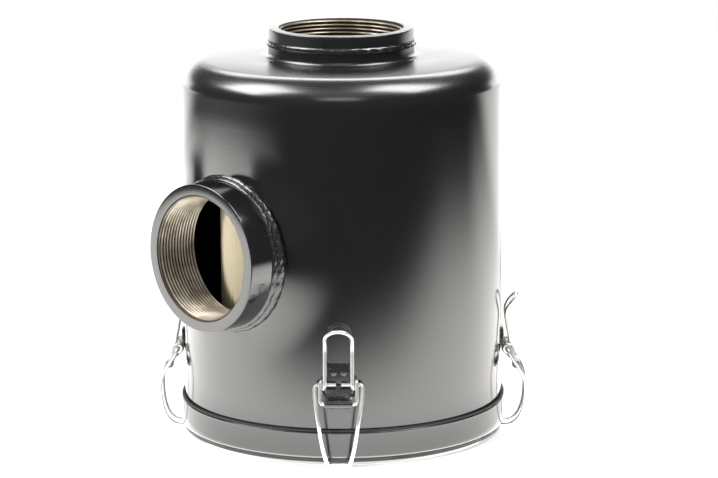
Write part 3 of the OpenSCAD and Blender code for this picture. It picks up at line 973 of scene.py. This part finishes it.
@dataclass
class Lid(Housing):
    """Pressed lid that the canister stands in, and its gasket."""

    radius: float = 99.2
    wall: float = 1.2
    bevel_high: float = 6.4
    bevel_wide: float = 6.2
    locator: float = 68.0
    locator_wide: float = 2.0
    locator_high: float = 4.2
    edge: float = 0.6
    gasket_in: float = 93.8
    gasket_out: float = 97.9
    gasket_lip: float = 98.9
    gasket_rim: float = 97.15
    gasket_thick: float = 2.6

    def pressing(self) -> bpy.types.Object:
        """Spins the lid with its bevel and locating ring."""
        skirt = span("lid")[1]
        slope = math.hypot(self.bevel_wide, self.bevel_high)
        flat = self.radius - self.bevel_wide
        inner_flat = flat - self.wall * (slope - self.bevel_wide) / self.bevel_high
        lean = 270 + math.degrees(math.atan2(self.bevel_high, self.bevel_wide))
        low = arc((flat - 0.5, 0.8), 0.8, 270, lean, 4)
        high = arc((self.radius - 0.8, self.bevel_high + 0.45), 0.8, lean, 360, 4)
        bevel = [tuple(Vector(low[-1]).lerp(Vector(high[0]), t)) for t in (0.06, 0.5, 0.94)]
        outline = [
            (0, 0), (flat - 4, 0), *low, *bevel, *high,
            (self.radius, self.bevel_high + 2), (self.radius, skirt - 2),
            *arc((self.radius - self.edge, skirt - self.edge), self.edge, 0, 180, 8),
            (self.radius - self.wall, self.bevel_high + 0.7), (inner_flat, self.wall),
            (self.locator, self.wall), *arc((self.locator - 0.5, self.locator_high - 0.5), 0.5, 0, 90, 4),
            *arc((self.locator - self.locator_wide + 0.5, self.locator_high - 0.5), 0.5, 90, 180, 4),
            (self.locator - self.locator_wide, self.wall), (0, self.wall)]
        return Bench.smooth(Bench.turned("lid_pressing", outline, 384), 32)

    def gasket(self) -> bpy.types.Object:
        """Spins the gasket with its bead over the skirt."""
        skirt = span("lid")[1] + 0.1
        bottom, top = span("lid_gasket")
        ledge = bottom + self.gasket_thick
        outline = rounded([
            (self.gasket_in, bottom), (self.gasket_out, bottom), (self.gasket_out, skirt),
            (self.gasket_lip, skirt), (self.gasket_lip, top), (self.gasket_rim, top),
            (self.gasket_rim, ledge), (self.gasket_in, ledge)], 0.35, 3)
        return Bench.smooth(Bench.turned("gasket_ring", outline, 256), 40)

    def build(self) -> None:
        """Makes the lid and its gasket."""
        fit(self.pressing(), Enamel(), "black_gloss_paint", self.body, "lid")
        fit(self.gasket(), Rubber(), "black_rubber", self.body, "lid_gasket")


@dataclass
class Cartridge(Housing):
    """Pleated cartridge with its caps, core and seal."""

    paper: float = 74.5
    folds: int = 80
    depth: float = 25.4
    cap: float = 76.0
    lip: float = 40.0
    seal: float = 46.0
    plate: float = 3.0
    recess: float = 1.0
    recess_in: float = 53.0
    recess_out: float = 70.0
    foot_wide: float = 6.0
    foot_high: float = 4.0
    edge: float = 0.8
    fold_round: int = 8
    crease_deep: float = 14.0

    def pleats(self) -> bpy.types.Object:
        """Folds the paper and draws it up to its height."""
        low, high = span("cartridge_paper")
        count = self.folds * self.fold_round * 2
        points = []
        for index in range(count):
            turn = index / (self.fold_round * 2)
            wave = 1 - abs(2 * (turn % 1) - 1)
            radius = self.paper - 0.3 - self.depth * (1 - (1 - (1 - wave) ** 6) * wave ** 0.9)
            angle = math.tau * index / count
            points.append(Vector((radius * math.cos(angle) * MM, radius * math.sin(angle) * MM, low * MM)))
        piece = Bench.ring("paper_folds", points)
        Bench.take_all()
        bpy.ops.mesh.extrude_region_move(TRANSFORM_OT_translate={"value": (0, 0, (high - low) * MM)})
        Bench.tidy_faces()
        outer = self.paper - 0.3
        # The mark grows with depth into a fold, for the paper's painted shade.
        Bench.measured(piece, "crease",
                       lambda spot: eased((outer - reach(spot) / MM) / self.crease_deep))
        return Bench.smooth(piece, 50)

    def caps(self) -> list[tuple[bpy.types.Object, str]]:
        """Spins both end caps."""
        low, high = span("cartridge_top_cap")
        lid_low, lid_high = span("cartridge_bottom_cap")
        sunk, flange = high - self.recess, low + self.plate
        top = rounded([
            (self.lip, low), (self.cap, low), (self.cap, high), (self.recess_out, high),
            (self.recess_out - self.recess, sunk), (self.recess_in + self.recess, sunk),
            (self.recess_in, high), (self.seal, high), (self.seal, flange), (self.lip, flange)], 0.9)
        foot, under, rim = self.cap - self.foot_wide, lid_low + self.foot_high, self.cap - self.edge
        bottom = [
            (0, under), (foot - 0.4, under), (foot, lid_low + 0.5), (foot + 0.5, lid_low), (rim, lid_low),
            (self.cap, lid_low + self.edge), (self.cap, lid_high - self.edge), (rim, lid_high), (0, lid_high)]
        return [(Bench.turned("top_cap_casting", top), "cartridge_top_cap"),
                (Bench.turned("bottom_cap_casting", bottom), "cartridge_bottom_cap")]

    def build(self) -> None:
        """Makes the cartridge; core and seal keep their solids and get a skin."""
        fit(self.pleats(), FilterPaper(), "filter_paper", self.body, "cartridge_paper")
        for piece, node in self.caps():
            fit(Bench.smooth(piece, 40), CapPlastic(), "cap_plastic", self.body, node)
        for node, finish in (("cartridge_core", PlatedSheet()), ("cartridge_seal", Rubber())):
            solid = frame["nodes"][node]
            solid.data.materials.clear()
            solid.data.materials.append(finish.material())
            log.info("%s: painted", node)


class Side(Enum):
    """The four latches, with their turn from the front."""

    FRONT = 0
    RIGHT = 90
    BACK = 180
    LEFT = 270


def across(width: float, spot: Vector) -> Vector:
    """Point of the front latch, in metres, from its width and its plane."""
    return Vector((width * MM, -spot.x * MM, spot.y * MM))


@dataclass
class Latch:
    """One bracket, lever and bail, modelled in front and copied round."""

    can: float = 97.0
    pin: float = 1.15
    wire: float = 1.12
    pin_gap: float = 0.07
    pin_stop: float = 1.6
    bend: float = 2.2
    leg_x: float = 8.0
    eye_step: float = 2.8
    leg_len: float = 18.8
    leg_lean: float = 10.0
    flare_r: float = 10.0
    flare_angle: float = 38.0
    flare_len: float = 8.0
    bail_x: float = 14.1
    bail_lean: float = 28.0
    bow: Vector = field(default_factory=lambda: Vector((111.8, 27.0)))
    bow_x: float = 11.2
    hook: Vector = field(default_factory=lambda: Vector((96.73, 1.7)))
    hook_x: float = 5.8
    pulls: tuple[float, ...] = (7, 8, 17, 9)
    sheet: float = 1.4
    seat: float = 0.1
    bracket_top: float = 62.4
    plate: float = 14.0
    knuckle: float = 16.6
    knuckle_wall: float = 1.2
    bend_z: float = 51.0
    bend_r: float = 4.0
    arm_pass: float = 1.0
    arm_wide: float = 5.0
    weld_x: float = 3.0
    weld_z: float = 57.2
    weld_r: float = 1.9
    weld_flat: float = 0.16
    edge: float = 0.3
    bend_steps: int = 8
    eye_steps: int = 56
    grip_steps: int = 36
    leg_steps: int = 24

    def __post_init__(self) -> None:
        """Reads the hinge and the eyes from the frame's joints."""
        places = {joint["name"]: joint["pos_m"] for joint in frame["joints"]}
        self.hinge = Vector((-places["front_lever_hinge"][1], places["front_lever_hinge"][2])) / MM
        self.eye = Vector((-places["front_bail_pivot"][1], places["front_bail_pivot"][2])) / MM
        self.eye_r = self.pin + self.pin_gap + self.wire
        self.link_x = self.leg_x + self.eye_step
        offset = self.hinge - self.eye
        self.link_lean = (math.degrees(math.atan2(offset.x, -offset.y))
                          - math.degrees(math.asin(self.eye_r / offset.length)))
        self.leg_foot = self.eye + polar(self.eye_r, self.leg_lean)
        self.leg_end = self.leg_foot + heading(-self.leg_lean) * self.leg_len
        self.flare_arc = self.flare_r * math.radians(self.flare_angle + self.leg_lean)
        self.flare_centre = self.leg_end + polar(self.flare_r, self.leg_lean)
        self.lever_len = self.leg_len + self.flare_arc + self.flare_len

    def leg(self, length: float) -> Vector:
        """Point of the lever's leg at a length above its foot."""
        if length < self.leg_len:
            return self.leg_foot + heading(-self.leg_lean) * length
        if length < self.leg_len + self.flare_arc:
            turn = self.leg_lean - math.degrees((length - self.leg_len) / self.flare_r)
            return self.flare_centre - polar(self.flare_r, turn)
        rest = length - self.leg_len - self.flare_arc
        return self.flare_centre - polar(self.flare_r, -self.flare_angle) + heading(self.flare_angle) * rest

    def corner(self, root: float, pivot: Vector, out: Vector) -> list[Vector]:
        """Straight wire end in a pivot, and its bend into a leg."""
        angles = [math.pi / 2 * i / self.bend_steps for i in range(self.bend_steps + 1)]
        return [across(self.pin_stop, pivot), across(self.pin_stop + 0.3, pivot),
                *[across(root + self.bend * math.sin(a), pivot + out * self.bend * (1 - math.cos(a)))
                  for a in angles]]

    def mirrored(self, half: list[Vector], middle: Iterable[Vector] = ()) -> list[Vector]:
        """A path and its mirror image, with what joins them between."""
        return [*half, *middle, *[Vector((-p.x, p.y, p.z)) for p in reversed(half)]]

    def lever_path(self) -> list[Vector]:
        """Lever's wire: pin, bend, one turn for the eye, leg and grip, then back down."""
        grip = self.lever_len - self.leg_x
        turn = 360 + self.leg_lean - self.link_lean
        half = self.corner(self.link_x - self.bend, self.hinge, heading(-self.link_lean))
        for index in range(self.eye_steps + 1):
            t = index / self.eye_steps
            half.append(across(self.link_x - self.eye_step * t,
                               self.eye + polar(self.eye_r, self.link_lean + turn * t)))
        lengths = [self.leg_len * i / 8 for i in range(1, 9)]
        lengths += [self.leg_len + self.flare_arc * i / 10 for i in range(1, 11)]
        half += [across(self.leg_x, self.leg(s)) for s in lengths if s < grip - 0.3]
        middle = [across(self.leg_x * math.cos(a), self.leg(grip + self.leg_x * math.sin(a)))
                  for a in (math.pi * i / self.grip_steps for i in range(self.grip_steps + 1))]
        return self.mirrored(half, middle)

    def bail_path(self) -> list[Vector]:
        """Bail's wire: pin in the eye, bowed leg and hook, then back up."""
        down = heading(180 - self.bail_lean)
        top = self.eye + down * self.bend
        hook_top = self.hook + Vector((self.bend, 0))
        taper = (self.bail_x - self.bow_x) / (top.y - self.bow.y)
        first, second, third, fourth = self.pulls
        spans = [
            (across(self.bail_x, top), across(self.bail_x, top + down * first),
             across(self.bow_x + taper * second, self.bow + Vector((0, second))), across(self.bow_x, self.bow)),
            (across(self.bow_x, self.bow), across(self.bow_x - taper * third, self.bow - Vector((0, third))),
             across(self.hook_x, hook_top + Vector((fourth, 0))), across(self.hook_x, hook_top))]
        half = self.corner(self.bail_x - self.bend, self.eye, down)
        for a, b, c, d in spans:
            half += [a * (1 - t) ** 3 + b * 3 * t * (1 - t) ** 2 + c * 3 * t * t * (1 - t) + d * t ** 3
                     for t in (i / self.leg_steps for i in range(1, self.leg_steps + 1))]
        for index in range(1, self.bend_steps + 1):
            a = math.pi / 2 * index / self.bend_steps
            half.append(across(self.hook_x - self.bend * (1 - math.cos(a)),
                               hook_top - Vector((self.bend * math.sin(a), 0))))
        return self.mirrored(half)

    def bracket(self) -> bpy.types.Object:
        """Bends the bracket's sheet and rolls its knuckle."""
        half = self.sheet / 2
        middle = self.can + self.seat + half
        centre = Vector((middle + self.bend_r, self.bend_z))
        offset = self.hinge - centre
        arm = (math.degrees(math.acos(-(self.arm_pass + self.bend_r) / offset.length))
               - math.degrees(math.atan2(-offset.y, offset.x)))
        out, face = heading(180 - arm), Vector((math.cos(math.radians(arm)), math.sin(math.radians(arm))))
        foot = centre - face * self.bend_r
        tip = foot + out * (self.hinge - foot).dot(out)
        wide = tip - out * self.arm_wide
        plate = [(middle + half, self.bracket_top),
                 *arc(tuple(centre), self.bend_r - half, 180, 180 + arm, 12),
                 tuple(tip + face * half), tuple(tip - face * half),
                 *arc(tuple(centre), self.bend_r + half, 180 + arm, 180, 12),
                 (middle - half, self.bracket_top)]
        end = [tuple(spot + face * thick)
               for spot, thick in ((wide, half), (tip, half), (tip, -half), (wide, -half))]
        pieces = [Bench.pressed("plate", plate, self.plate), Bench.pressed("end", end, self.knuckle)]
        rim = self.pin + self.pin_gap
        outer, side = rim + self.knuckle_wall, self.knuckle / 2
        section = rounded([(rim, -side), (outer, -side), (outer, side), (rim, side)], 0.25, 3)
        roll = Bench.turned("roll", section, 48)
        across_x = Matrix.Rotation(math.pi / 2, 4, "Y")
        pieces.append(Bench.placed(roll, Matrix.Translation(across(0, self.hinge)) @ across_x))
        for piece in pieces[:2]:
            Bench.modified(piece, "BEVEL", width=self.edge * MM, segments=3, limit_method="ANGLE",
                           angle_limit=math.radians(40))
        for weld_x in (-self.weld_x, self.weld_x):
            Bench.clear()
            bpy.ops.mesh.primitive_uv_sphere_add(
                segments=24, ring_count=12, radius=self.weld_r * MM,
                location=across(weld_x, Vector((middle + half - 0.02, self.weld_z))))
            nugget = bpy.context.object
            nugget.scale = (1, self.weld_flat, 1)
            bpy.ops.object.transform_apply(location=True, rotation=True, scale=True)
            pieces.append(nugget)
        return Bench.smooth(Bench.joined(pieces), 35)

    def build(self) -> None:
        """Makes the front latch and copies it to the other three sides."""
        patterns = {
            "bracket": (self.bracket(), BracketEnamel(), "bracket_paint"),
            **{part: (Bench.smooth(Bench.wound(part, path, self.wire), 60), ZincWire(), "latch_wire")
               for part, path in (("lever", self.lever_path()), ("bail", self.bail_path()))}}
        for side in Side:
            name = side.name.lower()
            turn = Matrix.Rotation(math.radians(side.value), 4, "Z")
            for part, (pattern, finish, slot) in patterns.items():
                piece = Bench.copied(pattern, f"{name}_{part}_finished", turn)
                body = "housing" if part == "bracket" else f"{name}_{part}"
                fit(piece, finish, slot, body, f"{name}_{part}")
        for pattern, _, _ in patterns.values():
            bpy.data.objects.remove(pattern)


# ---------------------------------------------------------------------------------------------------
# Studio
# ---------------------------------------------------------------------------------------------------

@dataclass(frozen=True)
class TableGlow:
    """Light that the table gives off in gloss only, in metres and with 1 as white.

    A ramp holds two places and the value at each.
    """

    reach_left: Ramp = (-0.8, -0.3, 0.62, 0.30)
    reach_middle: Ramp = (-0.15, 0.1, 0.0, 0.035)
    reach_right: Ramp = (0.08, 0.4, 0.68, 0.85)
    reach_round: float = 1.17
    round_side: Ramp = (-0.2, -0.1, 1.0, 0.0)
    reach_back: float = 0.34
    back_open: Point = (0.10, 0.30)
    edge: float = 2.7
    round_edge: float = 5.5
    fall: float = 1.45
    fall_depth: float = 0.75
    strength: Ramp = (0.1, 0.5, 3.4, 2.2)
    # Painted shadow of the canister, darkening the glow near its foot.
    foot_shadow: Ramp = (0.118 ** 2, 0.22 ** 2, 0.72, 1.0)
    rear_lean: float = 0.35
    rear_shift: Ramp = (-0.3, 0.0, 0.3, 0.0)
    rear: Ramp = (-0.02, 0.47, 0.0, 2.3)
    under: Ramp = (0.104 ** 2, 0.120 ** 2, 2.8, 0.0)

    def signal(self, shop: NodeShop) -> Signal:
        """Joins the lit patch round the canister, the far table at both sides and the bright foot."""
        x, y, _ = shop.parts(shop.place())
        aside, away = x.max(x * -1.0), x * x + y * y
        reach_ahead = shop.mapped(x, *self.reach_left) + shop.mapped(x, *self.reach_middle)
        ahead = ((y * -1.0).max(0.0) / reach_ahead) ** self.edge
        right = (x.max(0.0) / shop.mapped(y, *self.reach_right)) ** self.edge
        left = (away / self.reach_round ** 2) ** self.round_edge * shop.mapped(x, *self.round_side)
        open_back = shop.mapped(aside, *self.back_open)
        behind = (y.max(0.0) / self.reach_back) ** self.edge * (1.0 - open_back)
        fade = ((ahead + right + left + behind) ** self.fall) * -self.fall_depth
        # near carries the painted shadow at the canister's foot.
        near = (shop.node("ShaderNodeMath", {"operation": "EXPONENT"}, {0: fade})
                * shop.mapped(y, *self.strength) * shop.mapped(away, *self.foot_shadow))
        beyond = y - aside * self.rear_lean - shop.mapped(x, *self.rear_shift)
        return near.max(shop.mapped(beyond, *self.rear) * open_back) + shop.mapped(away, *self.under)


@dataclass(frozen=True)
class Softbox:
    """Lamp that looks at the canister's middle, in metres and watts.

    A mirrored one shows as an image in gloss and lights nothing else; a plain one does the rest.
    """

    name: str
    place: Triple
    wide: float
    high: float
    power: float
    mirrored: bool = True

    def hang(self, aim: Vector) -> None:
        """Adds the lamp and turns it to a point."""
        Bench.clear()
        bpy.ops.object.light_add(type="AREA", location=self.place)
        lamp = bpy.context.object
        lamp.name = lamp.data.name = self.name
        lamp.data.shape = "RECTANGLE"
        lamp.data.size, lamp.data.size_y, lamp.data.energy = self.wide, self.high, self.power
        lamp.visible_glossy, lamp.visible_diffuse = self.mirrored, not self.mirrored
        lamp.rotation_euler = (aim - Vector(self.place)).to_track_quat("-Z", "Y").to_euler()


@dataclass
class Studio:
    """Pale table, white backdrop, softboxes and the camera."""

    floor: float = 6.0
    backdrop: float = 3.0
    high: float = 0.95
    sunk: float = 0.05
    table_colour: Colour = (0.93, 0.925, 0.915)
    warm: Colour = (1, 0.985, 0.955)
    cream: Colour = (1, 0.995, 0.985)
    white: Colour = (1, 1, 1)
    fill_colour: Colour = (1, 0.99, 0.975)
    backdrop_glow: float = 3.4
    lift: float = 0.40
    fill: float = 0.45
    room: float = 0.05
    aim: Triple = (0, 0, 0.12)
    eye: Triple = (0.0524, -1.9993, 0.5327)
    lens: float = 167.75
    sensor: float = 36.0
    clip: Point = (0.01, 50)
    pan: float = 1.21
    below: float = 11.742
    roll: float = -0.2455
    softboxes: tuple[Softbox, ...] = (
        Softbox("left_softbox", (-0.82, -0.03, 1.22), 0.78, 0.76, 20.0),
        Softbox("right_softbox", (0.62, -0.04, 1.40), 0.62, 0.72, 15.5),
        Softbox("high_softbox", (0.0, -0.60, 1.60), 1.2, 0.7, 1.2),
        Softbox("rear_strip", (0.0, 1.75, 1.40), 1.4, 0.6, 18.0),
        Softbox("front_softbox", (0.0, -1.45, 1.42), 0.8, 0.5, 2.3),
        Softbox("left_lamp", (-1.08, 0.15, 1.37), 0.65, 0.65, 11, False),
        Softbox("right_lamp", (0.85, -0.4, 1.56), 0.65, 0.65, 11, False),
        Softbox("port_lamp", (-0.85, -1.35, 0.5), 0.35, 0.35, 24, False))

    def table_material(self, back: bool) -> bpy.types.Material:
        """White for the camera, and as bright in the enamel as a lit table.

        Args:
            back: True for the backdrop.

        Returns:
            The material.
        """
        material = bpy.data.materials.new("backdrop_white" if back else "table_white")
        material.use_nodes = True
        shop = NodeShop(material.node_tree)
        if back:
            glow = shop.light("Emission", self.cream, self.backdrop_glow)
            plain = shop.light("Emission", self.white, 1.0)
        else:
            glow = shop.light("Emission", self.warm, TableGlow().signal(shop))
            lit = shop.node("ShaderNodeBsdfDiffuse", {}, {"Color": (*self.table_colour, 1)})
            lift = shop.light("Emission", self.cream, self.lift)
            plain = shop.node("ShaderNodeAddShader", {}, {0: lit, 1: lift})
        glossy = shop.node("ShaderNodeLightPath", output="Is Glossy Ray")
        shop.finish(shop.node("ShaderNodeMixShader", {}, {0: glossy, 1: plain, 2: glow}))
        return material

    def stage(self) -> None:
        """Lays the table and hangs the backdrop."""
        for back in (False, True):
            Bench.clear()
            bpy.ops.mesh.primitive_plane_add(size=1, location=(0, 0, 0))
            piece = bpy.context.object
            piece.name = piece.data.name = "backdrop" if back else "table"
            if back:
                place = (Matrix.Translation((0, self.backdrop, self.high / 2))
                         @ Matrix.Rotation(math.pi / 2, 4, "X")
                         @ Matrix.Diagonal((self.floor, self.high, 1, 1)))
            else:
                place = (Matrix.Translation((0, 0, -self.sunk * MM))
                         @ Matrix.Diagonal((self.floor, self.floor, 1, 1)))
            Bench.placed(piece, place)
            piece.data.materials.append(self.table_material(back))

    def sky(self) -> None:
        """White to the camera, dim room in the enamel, soft fill elsewhere."""
        world = bpy.context.scene.world or bpy.data.worlds.new("room")
        bpy.context.scene.world = world
        world.use_nodes = True
        shop = NodeShop(world.node_tree)
        white = shop.light("Background", self.white, 1.0)
        fill = shop.light("Background", self.fill_colour, self.fill)
        room = shop.light("Background", self.white, self.room)
        paths = shop.node("ShaderNodeLightPath").socket.node.outputs
        soft = shop.node("ShaderNodeMixShader", {}, {
            0: Signal(shop, paths["Is Glossy Ray"]), 1: fill, 2: room})
        shop.finish(shop.node("ShaderNodeMixShader", {}, {
            0: Signal(shop, paths["Is Camera Ray"]), 1: soft, 2: white}), "ShaderNodeOutputWorld")

    def camera(self) -> None:
        """Sets the camera and its view."""
        Bench.clear()
        bpy.ops.object.camera_add(location=self.eye)
        camera = bpy.context.object
        camera.data.lens, camera.data.sensor_width = self.lens, self.sensor
        camera.data.clip_start, camera.data.clip_end = self.clip
        turn = (Matrix.Rotation(math.radians(self.pan), 4, "Z")
                @ Matrix.Rotation(math.radians(90 - self.below), 4, "X")
                @ Matrix.Rotation(math.radians(self.roll), 4, "Z"))
        camera.rotation_euler = turn.to_euler()
        bpy.context.scene.camera = camera
        bpy.context.scene.view_settings.view_transform = "Standard"

    def build(self) -> None:
        """Sets up the whole studio."""
        self.stage()
        self.sky()
        for softbox in self.softboxes:
            softbox.hang(Vector(self.aim))
        self.camera()


def main() -> None:
    """Builds every sub-assembly in order."""
    logging.basicConfig(level=logging.INFO, format="%(message)s")
    canister = Canister()
    Studio().build()
    canister.build()
    Port("outlet", canister.outlet_seam, stand=8.7, place=Matrix.Identity(4), lump_heading=-50).build()
    Port("inlet", canister.inlet_seam, stand=18.6, place=canister.inlet_place(),
         passes=((44.0, 0.0, 1.9), (45.5, 3.1, 2.3)), lump_heading=90).build()
    Lid().build()
    Cartridge().build()
    Latch().build()


if __name__ == "__main__":
    main()
